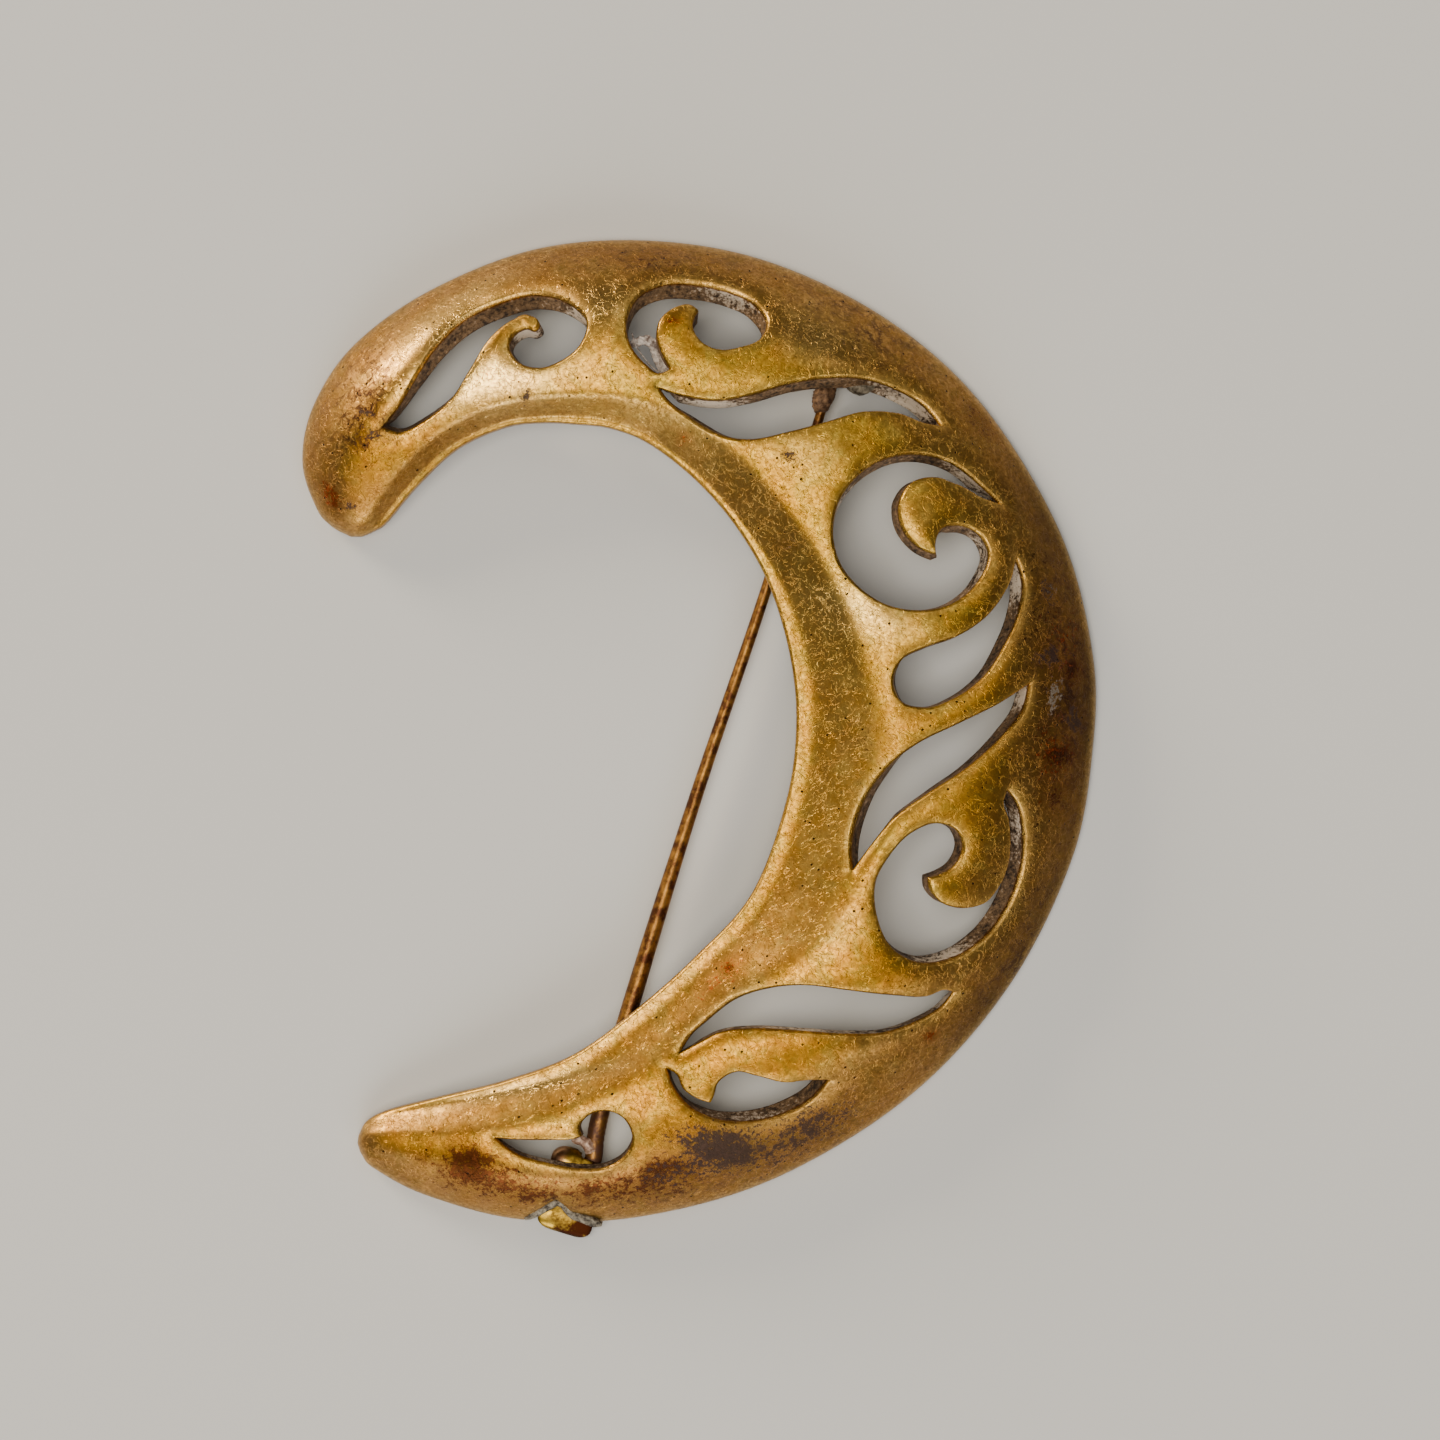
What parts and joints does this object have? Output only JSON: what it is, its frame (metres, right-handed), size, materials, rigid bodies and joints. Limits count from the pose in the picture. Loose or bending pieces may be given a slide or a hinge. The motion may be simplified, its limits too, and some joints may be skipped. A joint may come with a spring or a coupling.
{
  "type": "moon brooch",
  "caption": "Large domed crescent brooch pierced with scrolls and leaves, with a hinged pin and a C-shaped catch behind it.",
  "frame": {"origin": "centre of the bounding box's underside, on the surface that the rim rests on", "axes": "+Y along the crescent's length to its arch, +X to its convex side, +Z out of its domed face"},
  "size_m": [0.0561, 0.0707, 0.0072],
  "materials": {
    "crescent": "worn satin",
    "pin": "brown patina"
  },
  "bodies": {
    "brooch": {"crescent": "crescent"},
    "pin": {"pin_stem": "pin"}
  },
  "joints": [
    {"name": "pin_hinge", "type": "hinge", "parent": "brooch", "child": "pin", "pos_m": [-0.0076, -0.0303, 0.0018], "axis": [-0.9563, 0.2924, 0], "range_deg": [0, 110]}
  ]
}
